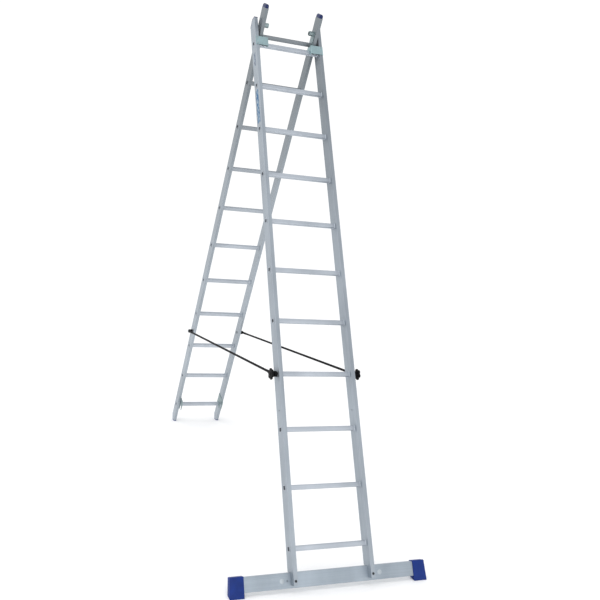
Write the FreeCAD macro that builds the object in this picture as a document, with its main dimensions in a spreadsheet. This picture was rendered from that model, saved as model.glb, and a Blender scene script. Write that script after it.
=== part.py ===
import FreeCAD, Part
import math
import os
import re
from types import SimpleNamespace

import Sketcher

# A two-section aluminium ladder standing open as an A-frame. The wider base section leans
# back from a stabiliser bar. The narrower fly section hangs on the base's top rung by two
# steel hinge plates and leans forward. A black rod on each side keeps the two apart.
#
# Each section has its own frame: x across the ladder, y towards its back, z up the stiles,
# with the origin at the centre of its lowest rung. All lengths are in millimetres.

DRIVING = {
    # stance, with the leans in degrees
    "base_lean": 25.3,
    "fly_lean": 20.57,
    "base_rung_height": 179.0,
    # hinge axis, below and in front of the fly section's top rung
    "hinge_drop": 40.1,
    "hinge_set": 55.8,
    # stiles and rungs
    "rung_pitch": 280.0,
    "rung_count": 11,
    "rung_side": 24.0,
    "rung_corner": 4.0,
    "rung_wall": 1.8,
    "hole_corner": 2.3,
    "stile_depth": 66.0,
    "stile_wall": 2.0,
    "stile_corner": 1.5,
    "base_width": 438.0,
    "base_stile_width": 22.0,
    "fly_width": 372.0,
    "fly_stile_width": 20.0,
    "base_top": 2961.0,
    "base_top_cut": 33.0,
    "base_bottom": 160.0,
    "fly_top": 2963.0,
    "lock_hole_height": 654.0,
    # plastic ends of the stiles
    "rim": 5.0,
    "sole_rim": 5.0,
    "sole_back": 2.0,
    "sole_cut": 36.0,
    "plug_depth": 30.0,
    "plug_slack": 0.2,
    "cap_height": 22.0,
    "cap_lip": 1.0,
    "cap_round": 8.0,
    # stabiliser
    "bar_length": 1050.0,
    "bar_height": 68.0,
    "bar_depth": 25.0,
    "bar_drop": 140.0,
    "bar_front": 2.0,
    "bar_slack": 1.0,
    "foot_length": 73.0,
    "foot_wall": 4.0,
    "foot_end_wall": 5.0,
    "foot_flare": 3.0,
    "foot_flare_height": 50.0,
    "bolt_radius": 4.0,
    "bolt_head_radius": 6.5,
    "bolt_head_height": 3.5,
    "nut_radius": 7.5,
    "nut_height": 6.5,
    "washer_radius": 10.0,
    "washer_height": 1.6,
    "bar_hole_radius": 3.0,
    "bar_hole_offset": 29.0,
    "bar_screw_offset": 56.0,
    "screw_head_radius": 12.0,
    # guide brackets around the base section's top rung
    "strap": 3.0,
    "strap_inner": 140.0,
    "strap_low": 22.0,
    "strap_high": 33.0,
    "strap_back": 30.0,
    "strap_slack": 0.5,
    "strap_bend": 2.5,
    "rivet_radius": 2.5,
    "rivet_head_radius": 4.5,
    "rivet_head_height": 1.4,
    # hinge plates and the bosses at their tops
    "plate": 4.0,
    "plate_round": 5.0,
    "hook_size": 26.0,
    "hook_reach": 4.0,
    "hook_bore": 15.4,
    "plate_half": 22.0,
    "boss_rise": 66.0,
    "boss_radius": 14.0,
    "boss_bore": 9.5,
    "boss_length": 28.0,
    # claws on the fly section's lowest rung
    "claw_back": 28.0,
    "claw_low": 18.0,
    "claw_high": 82.0,
    "claw_front": 82.0,
    "claw_point": 2.0,
    "claw_taper": 2.0,
    "claw_tip": 4.0,
    "claw_round": 1.5,
    "throat_back": 38.0,
    "throat_front": 68.5,
    "throat_top": 38.0,
    # spreader rods
    "rod_radius": 6.5,
    "rod_rung": 3,
    "rod_fly_height": 685.0,
    "rod_rear_reach": 212.0,
    "rod_front_reach": 236.3,
    "rod_end_thick": 6.0,
    "rod_end_radius": 11.0,
    "rod_flat_length": 75.0,
    "rod_flat_height": 14.0,
    "rod_overlap": 15.0,
    "rod_slot_angle": 57.5,
    "rod_slot_slack": 0.35,
    "running_slack": 0.05,
    "side_gap": 0.3,
    "pivot_block_radius": 13.0,
    "stud_radius": 4.0,
    "stud_anchor": 36.0,
    "stud_anchor_side": 20.2,
    "spacer_radius": 15.0,
    # hand knobs
    "knob_radius": 30.0,
    "knob_length": 19.0,
    "knob_bore_depth": 15.0,
    "knob_scallops": 6,
    "knob_scallop_radius": 9.0,
    "knob_scallop_ring": 34.0,
    # labels and crimp pins
    "label_thick": 0.3,
    "label_length": 210.0,
    "label_height": 34.0,
    "label_middle": 2385.0,
    "small_label_length": 84.0,
    "small_label_height": 22.0,
    "small_label_middle": 2692.0,
    "crimp_drop": 12.0,
    "crimp_radius": 2.5,
    "crimp_proud": 0.8,
    # how far a cutting tool runs past what it cuts
    "overrun": 1.0,
}

# Heights of the rivets above the rung that each fitting sits on.
STRAP_RIVETS = ["-12", "24"]
CLAW_RIVETS = ["34", "64"]
PLATE_RIVETS = ["24", "42"]

OUTPUT = "parts"
SIDES = {"left": -1, "right": 1}
X_AXIS = FreeCAD.Vector(1, 0, 0)
Y_AXIS = FreeCAD.Vector(0, 1, 0)
Z_AXIS = FreeCAD.Vector(0, 0, 1)


def below_rung(rung_height, lean, depth):
    """How far down its stile the floor lies, for a stile that leans forward by lean."""
    angle = math.radians(lean)
    return (rung_height + depth * math.sin(angle)) / math.cos(angle)


def derived_sizes(given):
    """The sizes that make all four feet meet the floor."""
    fly = math.radians(given.fly_lean)
    top_rung = (given.rung_count - 1) * given.rung_pitch
    hinge_height = given.base_rung_height + top_rung * math.cos(math.radians(given.base_lean))
    hinge_above_fly_rung = (top_rung - given.hinge_drop) * math.cos(fly)
    hinge_above_fly_rung -= given.hinge_set * math.sin(fly)
    fly_rung_height = hinge_height - hinge_above_fly_rung
    foot_front = given.bar_front - given.foot_wall
    foot_rear = given.bar_front + given.bar_depth + given.foot_wall + given.foot_flare
    return {
        "sole_front_drop": below_rung(fly_rung_height, given.fly_lean, -given.stile_depth / 2),
        "sole_middle_drop": below_rung(fly_rung_height, given.fly_lean, given.sole_back),
        "foot_front_drop": below_rung(given.base_rung_height, -given.base_lean, foot_front),
        "foot_rear_drop": below_rung(given.base_rung_height, -given.base_lean, foot_rear),
    }


SIZES = dict(DRIVING)
SIZES.update(derived_sizes(SimpleNamespace(**DRIVING)))
dim = SimpleNamespace(**SIZES)

doc = FreeCAD.newDocument("ladder")
sheet = doc.addObject("Spreadsheet::Sheet", "Sizes")
for row, (alias, value) in enumerate(SIZES.items(), start=1):
    sheet.set("A%d" % row, alias)
    sheet.set("B%d" % row, str(value))
    sheet.setAlias("B%d" % row, alias)
doc.recompute()


# ---------------------------------------------------------------- frames

def turned(degrees, origin):
    """A section's frame: turned about the ladder's x axis, with its origin moved."""
    return FreeCAD.Placement(origin, FreeCAD.Rotation(X_AXIS, degrees))


TOP_RUNG = (dim.rung_count - 1) * dim.rung_pitch
BASE_FRAME = turned(-dim.base_lean, FreeCAD.Vector(0, 0, dim.base_rung_height))
HINGE = BASE_FRAME.multVec(FreeCAD.Vector(0, 0, TOP_RUNG))
HINGE_IN_FLY = FreeCAD.Vector(0, -dim.hinge_set, TOP_RUNG - dim.hinge_drop)
FLY_TURN = FreeCAD.Rotation(X_AXIS, dim.fly_lean)
FLY_FRAME = turned(dim.fly_lean, HINGE - FLY_TURN.multVec(HINGE_IN_FLY))

BASE_STILE_X = (dim.base_width - dim.base_stile_width) / 2
FLY_STILE_X = (dim.fly_width - dim.fly_stile_width) / 2
FLY_INNER_X = dim.fly_width / 2 - dim.fly_stile_width
STUD_HEIGHT = dim.rod_rung * dim.rung_pitch

PARTS = []


def keep(item, name, frame, x=0.0, y=0.0, z=0.0):
    """Name a finished sub-part and set it at x, y, z in its section's frame."""
    item.Label = name
    item.Placement = frame.multiply(FreeCAD.Placement(FreeCAD.Vector(x, y, z), FreeCAD.Rotation()))
    PARTS.append(item)
    return item


# ---------------------------------------------------------------- drawing helpers

def bound(text):
    """An expression with every alias of the sheet written out as Sizes.alias."""
    def prefix(word):
        name = word.group(0)
        return "Sizes." + name if name in SIZES else name
    return re.sub(r"[a-z_]+", prefix, text)


def origin_feature(body, role):
    return [item for item in body.Origin.OriginFeatures if item.Role == role][0]


def new_sketch(body, role, name, offset=None):
    sketch = body.newObject("Sketcher::SketchObject", name)
    sketch.AttachmentSupport = [(origin_feature(body, role), "")]
    sketch.MapMode = "FlatFace"
    if offset:
        sketch.setExpression("AttachmentOffset.Base.z", bound(offset))
    return sketch


def bind(sketch, constraint, name, text):
    """Add a dimension to a sketch and bind it to an expression."""
    index = sketch.addConstraint(constraint)
    sketch.renameConstraint(index, name)
    sketch.setExpression("Constraints." + name, bound(text))


def outline(body, role, name, corners, offset=None):
    """A closed polygon whose corners are pairs of expressions."""
    sketch = new_sketch(body, role, name, offset)
    count = len(corners)
    start = [
        FreeCAD.Vector(math.cos(2 * math.pi * i / count), math.sin(2 * math.pi * i / count), 0)
        for i in range(count)
    ]
    for i in range(count):
        sketch.addGeometry(Part.LineSegment(start[i], start[(i + 1) % count]), False)
    for i in range(count):
        sketch.addConstraint(Sketcher.Constraint("Coincident", i, 2, (i + 1) % count, 1))
    for i, (across, up) in enumerate(corners):
        across_start = Sketcher.Constraint("DistanceX", -1, 1, i, 1, start[i].x)
        up_start = Sketcher.Constraint("DistanceY", -1, 1, i, 1, start[i].y)
        bind(sketch, across_start, "across%d" % i, across)
        bind(sketch, up_start, "up%d" % i, up)
    return sketch


def circles(body, role, name, rounds, offset=None):
    """Circles given as centre across, centre up and radius, all expressions."""
    sketch = new_sketch(body, role, name, offset)
    for i, (across, up, radius) in enumerate(rounds):
        centre = FreeCAD.Vector(10.0 * i + 1, 1, 0)
        sketch.addGeometry(Part.Circle(centre, Z_AXIS, 2.0), False)
        bind(sketch, Sketcher.Constraint("DistanceX", -1, 1, i, 3, centre.x), "across%d" % i, across)
        bind(sketch, Sketcher.Constraint("DistanceY", -1, 1, i, 3, centre.y), "up%d" % i, up)
        bind(sketch, Sketcher.Constraint("Radius", i, 2.0), "radius%d" % i, radius)
    return sketch


def rectangle(left, right, low, high):
    return [(left, low), (right, low), (right, high), (left, high)]


def rung_hole(height):
    """The punched hole a rung passes through, with its corners taken off."""
    half = "rung_side / 2"
    short = "(rung_side / 2 - hole_corner)"
    points = [(short, half), (half, short), (half, "-" + short), (short, "-" + half)]
    points += [("-" + short, "-" + half), ("-" + half, "-" + short)]
    points += [("-" + half, short), ("-" + short, half)]
    return [(across, "%s + %s" % (height, up)) for across, up in points]


def pad(body, sketch, length, both_ways=True, backwards=False):
    feature = body.newObject("PartDesign::Pad", sketch.Name + "Pad")
    feature.Profile = sketch
    feature.setExpression("Length", bound(length))
    feature.SideType = "Symmetric" if both_ways else "One side"
    feature.Reversed = backwards
    sketch.Visibility = False
    doc.recompute()
    return feature


def cut_through(body, sketch):
    """Pocket a sketch right through the body, both ways, and check that it cut something."""
    before = body.Shape.Volume
    feature = body.newObject("PartDesign::Pocket", sketch.Name + "Cut")
    feature.Profile = sketch
    feature.SideType = "Symmetric"
    feature.Type = "ThroughAll"
    doc.recompute()
    if body.Shape.Volume >= before:
        raise ValueError("nothing was cut by " + sketch.Name)
    return feature


def long_edges(feature, axis, shortest=0.0):
    """Names of a feature's straight edges that run along an axis."""
    names = []
    for i, edge in enumerate(feature.Shape.Edges, start=1):
        if not isinstance(edge.Curve, Part.Line) or edge.Length < shortest:
            continue
        along = edge.Vertexes[-1].Point - edge.Vertexes[0].Point
        if abs(along.dot(axis)) > 0.999 * along.Length:
            names.append("Edge%d" % i)
    return names


def fillet(body, feature, edges, radius):
    rounded = body.newObject("PartDesign::Fillet", feature.Name + "Round")
    rounded.Base = (feature, edges)
    rounded.setExpression("Radius", bound(radius))
    doc.recompute()
    return rounded


def repeat_up(body, feature, count, pitch):
    """Repeat a cut up the stile, and make the pattern the body's tip."""
    pattern = body.newObject("PartDesign::LinearPattern", feature.Name + "Row")
    pattern.Originals = [feature]
    pattern.Direction = (origin_feature(body, "Z_Axis"), [""])
    pattern.setExpression("Length", bound("(%s - 1) * %s" % (count, pitch)))
    pattern.setExpression("Occurrences", bound(count))
    body.Tip = pattern
    doc.recompute()
    return pattern


def cylinder(name, radius, height, start, axis):
    """A cylinder with bound sizes that starts at a point and runs along an axis."""
    item = doc.addObject("Part::Cylinder", name)
    item.setExpression("Radius", bound(radius))
    item.setExpression("Height", bound(height))
    item.Placement = FreeCAD.Placement(start, FreeCAD.Rotation(Z_AXIS, axis))
    return item


def ring(name, outer, inner, height, start, axis):
    """A cylinder with a hole along its axis."""
    item = doc.addObject("Part::Cut", name)
    item.Base = cylinder(name + "Outer", outer, height, start, axis)
    item.Tool = cylinder(name + "Hole", inner, height, start, axis)
    return item


def box(name, x_size, y_size, z_size, corner):
    item = doc.addObject("Part::Box", name)
    item.setExpression("Length", bound(x_size))
    item.setExpression("Width", bound(y_size))
    item.setExpression("Height", bound(z_size))
    item.Placement.Base = corner
    return item


def joined(name, shapes):
    """Several overlapping shapes as one solid."""
    item = doc.addObject("Part::MultiFuse", name)
    item.Shapes = shapes
    item.Refine = True
    return item


def grouped(name, shapes):
    """Several separate solids that share one node."""
    item = doc.addObject("Part::Compound", name)
    item.Links = shapes
    return item


# ---------------------------------------------------------------- rungs

def make_rung(name, frame, width, height):
    """A square tube with rounded corners, its ends flush with the stiles' outer webs."""
    body = doc.addObject("PartDesign::Body", name)
    half = "rung_side / 2"
    inner = "(rung_side / 2 - rung_wall)"
    tube = pad(body, outline(body, "YZ_Plane", name + "Outside", rectangle(
        "-" + half, half, "-" + half, half)), width)
    fillet(body, tube, long_edges(tube, X_AXIS), "rung_corner")
    cut_through(body, outline(body, "YZ_Plane", name + "Inside", rectangle(
        "-" + inner, inner, "-" + inner, inner)))
    keep(body, name, frame, z=height)


def make_rungs():
    for k in range(dim.rung_count):
        make_rung("base_rung_%02d" % (k + 1), BASE_FRAME, "base_width", k * dim.rung_pitch)
        make_rung("fly_rung_%02d" % (k + 1), FLY_FRAME, "fly_width", k * dim.rung_pitch)


# ---------------------------------------------------------------- stiles

BASE_TOP_EDGE = [
    ("stile_depth / 2", "base_top - base_top_cut"),
    ("stile_depth / 2 - base_top_cut", "base_top"),
    ("-stile_depth / 2", "base_top"),
]
FLY_SOLE_EDGE = [
    ("-stile_depth / 2", "-sole_front_drop"),
    ("sole_back", "-sole_middle_drop"),
    ("stile_depth / 2", "-sole_middle_drop + sole_cut"),
]


def raised(edge, amount):
    """The same edge of an outline, moved up the stile."""
    return [(across, "%s + %s" % (up, amount)) for across, up in edge]


def drill(body, name, role, rounds):
    cut_through(body, circles(body, role, name, rounds))


def make_stile(name, frame, width, corners, x):
    """A box extrusion: the side outline padded to the stile's width, then hollowed."""
    body = doc.addObject("PartDesign::Body", name)
    solid = pad(body, outline(body, "YZ_Plane", name + "Side", corners), width)
    fillet(body, solid, long_edges(solid, Z_AXIS, 1000.0), "stile_corner")
    half_width = "(%s / 2 - stile_wall)" % width
    half_depth = "(stile_depth / 2 - stile_wall)"
    cut_through(body, outline(body, "XY_Plane", name + "Hollow", rectangle(
        "-" + half_width, half_width, "-" + half_depth, half_depth)))
    hole = cut_through(body, outline(body, "YZ_Plane", name + "RungHole", rung_hole("0")))
    repeat_up(body, hole, "rung_count", "rung_pitch")
    keep(body, name, frame, x=x)
    return body


def make_base_stiles():
    """The base stiles are notched at the foot, so that the stabiliser bar lies in them."""
    notch_top = "-bar_drop + bar_height / 2 + bar_slack"
    corners = [
        ("-stile_depth / 2", "-base_bottom"),
        ("bar_front", "-base_bottom"),
        ("bar_front", notch_top),
        ("stile_depth / 2", notch_top),
    ] + BASE_TOP_EDGE
    for side, sign in SIDES.items():
        name = "base_stile_" + side
        body = make_stile(name, BASE_FRAME, "base_stile_width", corners, sign * BASE_STILE_X)
        drill(body, name + "LockHole", "YZ_Plane", [("0", "lock_hole_height", "bolt_radius")])
        drill(body, name + "BoltHole", "XZ_Plane", [("0", "-bar_drop", "bolt_radius")])
        top = "(rung_count - 1) * rung_pitch"
        rivets = [("0", top + " + " + rise, "rivet_radius") for rise in STRAP_RIVETS]
        cut_forward(body, circles(body, "XZ_Plane", name + "RivetHoles", rivets))


def cut_forward(body, sketch):
    """Pocket from the stile's middle plane out through its front flange only."""
    before = body.Shape.Volume
    feature = body.newObject("PartDesign::Pocket", sketch.Name + "Cut")
    feature.Profile = sketch
    feature.SideType = "One side"
    feature.Type = "Length"
    feature.setExpression("Length", bound("stile_depth"))
    feature.Reversed = True
    doc.recompute()
    if body.Shape.Volume >= before:
        raise ValueError("nothing was cut by " + sketch.Name)


def make_fly_stiles():
    corners = raised(FLY_SOLE_EDGE, "sole_rim")
    corners += [("stile_depth / 2", "fly_top"), ("-stile_depth / 2", "fly_top")]
    top = "(rung_count - 1) * rung_pitch"
    for side, sign in SIDES.items():
        name = "fly_stile_" + side
        body = make_stile(name, FLY_FRAME, "fly_stile_width", corners, sign * FLY_STILE_X)
        drill(body, name + "PivotHole", "YZ_Plane", [("0", "rod_fly_height", "bolt_radius")])
        rivets = [("0", rise, "rivet_radius") for rise in CLAW_RIVETS]
        rivets += [("0", top + " + " + rise, "rivet_radius") for rise in PLATE_RIVETS]
        drill(body, name + "RivetHoles", "YZ_Plane", rivets)


# ---------------------------------------------------------------- plastic ends

def make_base_plugs():
    """A thin rim over the stile's cut top, on a block pushed down inside it."""
    rim = raised(BASE_TOP_EDGE, "rim") + BASE_TOP_EDGE[::-1]
    slack = "(stile_wall + plug_slack / 2)"
    half = "(stile_depth / 2 - %s)" % slack
    low = "base_top - base_top_cut - plug_depth"
    block = [
        (half, low),
        (half, "base_top + stile_depth / 2 - base_top_cut - " + half),
        ("stile_depth / 2 - base_top_cut", "base_top"),
        ("-" + half, "base_top"),
        ("-" + half, low),
    ]
    for side, sign in SIDES.items():
        name = "base_top_plug_" + side
        body = doc.addObject("PartDesign::Body", name)
        pad(body, outline(body, "YZ_Plane", name + "Rim", rim), "base_stile_width")
        pad(body, outline(body, "YZ_Plane", name + "Block", block),
            "base_stile_width - 2 * %s" % slack)
        keep(body, name, BASE_FRAME, x=sign * BASE_STILE_X)


def make_fly_plugs():
    """The sole lies flat on the floor, with the heel cut away."""
    rim = FLY_SOLE_EDGE + raised(FLY_SOLE_EDGE, "sole_rim")[::-1]
    slack = "(stile_wall + plug_slack / 2)"
    half = "(stile_depth / 2 - %s)" % slack
    high = "-sole_front_drop + sole_rim + plug_depth"
    block = [
        ("-" + half, "-sole_front_drop + sole_rim / 2"),
        ("sole_back", "-sole_middle_drop + sole_rim / 2"),
        (half, "-sole_middle_drop + sole_cut"),
        (half, high),
        ("-" + half, high),
    ]
    for side, sign in SIDES.items():
        name = "fly_foot_plug_" + side
        body = doc.addObject("PartDesign::Body", name)
        pad(body, outline(body, "YZ_Plane", name + "Rim", rim), "fly_stile_width")
        pad(body, outline(body, "YZ_Plane", name + "Block", block),
            "fly_stile_width - 2 * %s" % slack)
        keep(body, name, FLY_FRAME, x=sign * FLY_STILE_X)


def make_fly_caps():
    """A domed cap on each fly stile, with a block inside the stile."""
    wide = "(fly_stile_width / 2 + cap_lip)"
    deep = "(stile_depth / 2 + cap_lip)"
    slack = "(stile_wall + plug_slack / 2)"
    thin = "(fly_stile_width / 2 - %s)" % slack
    short = "(stile_depth / 2 - %s)" % slack
    for side, sign in SIDES.items():
        name = "fly_top_cap_" + side
        body = doc.addObject("PartDesign::Body", name)
        dome = pad(body, outline(body, "XY_Plane", name + "Dome", rectangle(
            "-" + wide, wide, "-" + deep, deep)), "cap_height", both_ways=False)
        top_edges = []
        for i, edge in enumerate(dome.Shape.Edges, start=1):
            if edge.BoundBox.ZMin > dim.cap_height - 0.1:
                top_edges.append("Edge%d" % i)
        fillet(body, dome, top_edges, "cap_round")
        pad(body, outline(body, "XY_Plane", name + "Block", rectangle(
            "-" + thin, thin, "-" + short, short)), "plug_depth", both_ways=False, backwards=True)
        keep(body, name, FLY_FRAME, x=sign * FLY_STILE_X, z=dim.fly_top)


# ---------------------------------------------------------------- stabiliser

def bar_section(shrink):
    """The bar's section in the base frame, shrunk on every side."""
    return rectangle(
        "bar_front + " + shrink, "bar_front + bar_depth - " + shrink,
        "-bar_drop - bar_height / 2 + " + shrink, "-bar_drop + bar_height / 2 - " + shrink)


def make_stabiliser_bar():
    body = doc.addObject("PartDesign::Body", "stabiliser_bar")
    solid = pad(body, outline(body, "YZ_Plane", "BarOutside", bar_section("0")), "bar_length")
    fillet(body, solid, long_edges(solid, X_AXIS), "stile_corner")
    cut_through(body, outline(body, "YZ_Plane", "BarInside", bar_section("stile_wall")))
    middle = "(base_width - base_stile_width) / 2"
    holes = []
    for sign in ("", "-"):
        holes.append(("%s(%s)" % (sign, middle), "-bar_drop", "bolt_radius"))
        holes.append(("%s(%s + bar_hole_offset)" % (sign, middle), "-bar_drop", "bar_hole_radius"))
        holes.append(("%s(%s + bar_screw_offset)" % (sign, middle), "-bar_drop", "bolt_radius"))
    drill(body, "BarHoles", "XZ_Plane", holes)
    keep(body, "stabiliser_bar", BASE_FRAME)


def make_stabiliser_feet():
    """A plastic shoe over each end of the bar, with its sole flat on the floor."""
    front = "bar_front - foot_wall"
    rear = "bar_front + bar_depth + foot_wall"
    top = "-bar_drop + bar_height / 2 + foot_wall"
    profile = [
        (front, "-foot_front_drop"),
        (rear + " + foot_flare", "-foot_rear_drop"),
        (rear, "-foot_rear_drop + foot_flare_height"),
        (rear, top),
        (front, top),
    ]
    for side, sign in SIDES.items():
        name = "stabiliser_foot_" + side
        body = doc.addObject("PartDesign::Body", name)
        pad(body, outline(body, "YZ_Plane", name + "Side", profile), "foot_length",
            both_ways=False, backwards=sign < 0)
        before = body.Shape.Volume
        socket = body.newObject("PartDesign::Pocket", name + "Socket")
        socket.Profile = outline(body, "YZ_Plane", name + "Bar", bar_section("0"))
        socket.SideType = "One side"
        socket.setExpression("Length", bound("foot_length - foot_end_wall"))
        socket.Reversed = sign > 0
        doc.recompute()
        if body.Shape.Volume >= before:
            raise ValueError("the bar's socket was not cut")
        inner_end = dim.bar_length / 2 + dim.foot_end_wall - dim.foot_length
        keep(body, name, BASE_FRAME, x=sign * inner_end)


def make_stabiliser_fixings():
    """A bolt through each stile and the bar, and a round-headed screw beside it."""
    bolts = []
    nuts = []
    flange = -dim.stile_depth / 2
    bar_back = dim.bar_front + dim.bar_depth
    for side, sign in SIDES.items():
        tag = side.capitalize()
        bolt_x = sign * BASE_STILE_X
        head = cylinder("BarBoltHead" + tag, "bolt_head_radius", "bolt_head_height",
                        FreeCAD.Vector(bolt_x, flange, -dim.bar_drop), -Y_AXIS)
        shank = cylinder("BarBoltShank" + tag, "bolt_radius",
                         "stile_depth / 2 + bar_front + bar_depth + washer_height + nut_height",
                         FreeCAD.Vector(bolt_x, flange, -dim.bar_drop), Y_AXIS)
        bolts.append(joined("BarBolt" + tag, [head, shank]))
        screw_x = sign * (BASE_STILE_X + dim.bar_screw_offset)
        disc = cylinder("BarScrewHead" + tag, "screw_head_radius", "washer_height",
                        FreeCAD.Vector(screw_x, dim.bar_front, -dim.bar_drop), -Y_AXIS)
        stem = cylinder("BarScrewStem" + tag, "bolt_radius",
                        "bar_depth + washer_height + nut_height",
                        FreeCAD.Vector(screw_x, dim.bar_front, -dim.bar_drop), Y_AXIS)
        bolts.append(joined("BarScrew" + tag, [disc, stem]))
        for place_name, nut_x in (("Bolt", bolt_x), ("Screw", screw_x)):
            seat = FreeCAD.Vector(nut_x, bar_back, -dim.bar_drop)
            nuts.append(ring("BarWasher" + place_name + tag, "washer_radius", "bolt_radius",
                             "washer_height", seat, Y_AXIS))
            nuts.append(hex_nut("BarNut" + place_name + tag,
                                seat + Y_AXIS * dim.washer_height, Y_AXIS))
    keep(grouped("StabiliserBolts", bolts), "stabiliser_bolts", BASE_FRAME)
    keep(grouped("StabiliserNuts", nuts), "stabiliser_nuts", BASE_FRAME)


def hex_nut(name, start, axis):
    prism = doc.addObject("Part::Prism", name + "Prism")
    prism.Polygon = 6
    prism.setExpression("Circumradius", bound("nut_radius"))
    prism.setExpression("Height", bound("nut_height"))
    prism.Placement = FreeCAD.Placement(start, FreeCAD.Rotation(Z_AXIS, axis))
    nut = doc.addObject("Part::Cut", name)
    nut.Base = prism
    nut.Tool = cylinder(name + "Thread", "bolt_radius", "nut_height", start, axis)
    return nut


# ---------------------------------------------------------------- guide brackets

def make_guide_brackets():
    """An L of strap: across the stile's front flange, then back over the rung's end."""
    for side, sign in SIDES.items():
        name = "guide_bracket_" + side
        outer = "%d * base_width / 2" % sign
        inner = "%d * strap_inner" % sign
        inner_wall = "%d * (strap_inner + strap)" % sign
        face = "-stile_depth / 2"
        corners = [
            (outer, face + " - strap"),
            (outer, face),
            (inner_wall, face),
            (inner_wall, "strap_back"),
            (inner, "strap_back"),
            (inner, face + " - strap"),
        ]
        body = doc.addObject("PartDesign::Body", name)
        strap = pad(body, outline(body, "XY_Plane", name + "Bend", corners, "-strap_low"),
                    "strap_low + strap_high", both_ways=False)
        bend = []
        for edge_name in long_edges(strap, Z_AXIS):
            edge = strap.Shape.getElement(edge_name)
            at_inner = abs(abs(edge.Vertexes[0].X) - dim.strap_inner) < 0.1
            if at_inner and edge.Vertexes[0].Y < 0:
                bend.append(edge_name)
        fillet(body, strap, bend, "strap_bend")
        gap = "(rung_side / 2 + strap_slack)"
        cut_through(body, outline(body, "YZ_Plane", name + "RungGap", rectangle(
            "-" + gap, "strap_back + overrun", "-strap_low - overrun", gap)))
        centre = "%d * (base_width - base_stile_width) / 2" % sign
        drill(body, name + "RivetHoles", "XZ_Plane",
              [(centre, rise, "rivet_radius") for rise in STRAP_RIVETS])
        keep(body, name, BASE_FRAME, z=TOP_RUNG)


def rivet(name, under_head, grip, axis):
    """A round head on a shank that runs back through what it holds."""
    head = cylinder(name + "Head", "rivet_head_radius", "rivet_head_height", under_head, axis)
    shank = cylinder(name + "Shank", "rivet_radius", grip, under_head, -axis)
    return joined(name, [head, shank])


def make_bracket_rivets():
    rivets = []
    for side, sign in SIDES.items():
        for i, rise in enumerate(STRAP_RIVETS):
            under_head = FreeCAD.Vector(
                sign * BASE_STILE_X, -dim.stile_depth / 2 - dim.strap, TOP_RUNG + float(rise))
            name = "StrapRivet%s%d" % (side.capitalize(), i)
            rivets.append(rivet(name, under_head, "strap + stile_wall", -Y_AXIS))
    keep(grouped("BracketRivets", rivets), "guide_bracket_rivets", BASE_FRAME)


# ---------------------------------------------------------------- hinge plates

def make_hinge_plates():
    """A steel plate on each fly stile, threaded on the top rung and hooked over the base's."""
    left = "-hinge_set - hook_size"
    right = "-hinge_set + hook_size"
    low = "-hinge_drop - hook_reach"
    corners = [
        (left, low),
        (right, low),
        ("plate_half", "-plate_half"),
        ("plate_half", "plate_half"),
        ("boss_radius", "boss_rise + boss_radius"),
        ("-boss_radius", "boss_rise + boss_radius"),
        ("-plate_half", "plate_half"),
        (left, "-hinge_drop + hook_size / 2"),
    ]
    for side, sign in SIDES.items():
        name = "hinge_plate_" + side
        body = doc.addObject("PartDesign::Body", name)
        blank = pad(body, outline(body, "YZ_Plane", name + "Blank", corners), "plate")
        fillet(body, blank, long_edges(blank, X_AXIS), "plate_round")
        cut_through(body, outline(body, "YZ_Plane", name + "Slot", rectangle(
            "-hinge_set - hook_bore", "-hinge_set + hook_bore", low + " - overrun",
            "-hinge_drop")))
        cut_through(body, circles(body, "YZ_Plane", name + "Seat", [
            ("-hinge_set", "-hinge_drop", "hook_bore")]))
        cut_through(body, outline(body, "YZ_Plane", name + "RungHole", rung_hole("0")))
        drill(body, name + "RivetHoles", "YZ_Plane",
              [("0", rise, "rivet_radius") for rise in PLATE_RIVETS])
        middle = FLY_INNER_X - dim.plate / 2
        keep(body, name, FLY_FRAME, x=sign * middle, z=TOP_RUNG)
        boss = ring("Boss" + side.capitalize(), "boss_radius", "boss_bore", "boss_length",
                    FreeCAD.Vector(sign * (FLY_INNER_X - dim.plate), 0, TOP_RUNG + dim.boss_rise),
                    X_AXIS * -sign)
        keep(grouped("HingeBoss" + side.capitalize(), [boss]), "hinge_boss_" + side, FLY_FRAME)


# ---------------------------------------------------------------- claws

def make_claws():
    """A steel hook on the fly's lowest rung, open downwards, that grips a base rung."""
    corners = [
        ("claw_back", "-claw_low"),
        ("claw_back", "claw_high"),
        ("-claw_front", "claw_high"),
        ("-claw_front", "throat_top"),
        ("-claw_front + claw_taper", "claw_point"),
        ("-claw_front + claw_taper + claw_tip", "claw_point"),
        ("-throat_front", "throat_top / 2"),
        ("-throat_front", "throat_top"),
        ("-throat_back", "throat_top"),
        ("-throat_back", "-claw_low"),
    ]
    for side, sign in SIDES.items():
        name = "rung_claw_" + side
        body = doc.addObject("PartDesign::Body", name)
        blank = pad(body, outline(body, "YZ_Plane", name + "Blank", corners), "plate")
        fillet(body, blank, long_edges(blank, X_AXIS), "claw_round")
        cut_through(body, outline(body, "YZ_Plane", name + "RungHole", rung_hole("0")))
        drill(body, name + "RivetHoles", "YZ_Plane",
              [("0", rise, "rivet_radius") for rise in CLAW_RIVETS])
        keep(body, name, FLY_FRAME, x=sign * (FLY_INNER_X - dim.plate / 2))


def make_fly_rivets():
    """Rivets that hold the hinge plates and the claws to the fly's inner webs."""
    rivets = []
    for side, sign in SIDES.items():
        heights = [float(rise) for rise in CLAW_RIVETS]
        heights += [TOP_RUNG + float(rise) for rise in PLATE_RIVETS]
        for i, height in enumerate(heights):
            under_head = FreeCAD.Vector(sign * (FLY_INNER_X - dim.plate), 0, height)
            name = "FlyRivet%s%d" % (side.capitalize(), i)
            rivets.append(rivet(name, under_head, "plate + fly_stile_width", X_AXIS * -sign))
    keep(grouped("FlyRivets", rivets), "fly_plate_rivets", FLY_FRAME)


# ---------------------------------------------------------------- spreader rods

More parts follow.
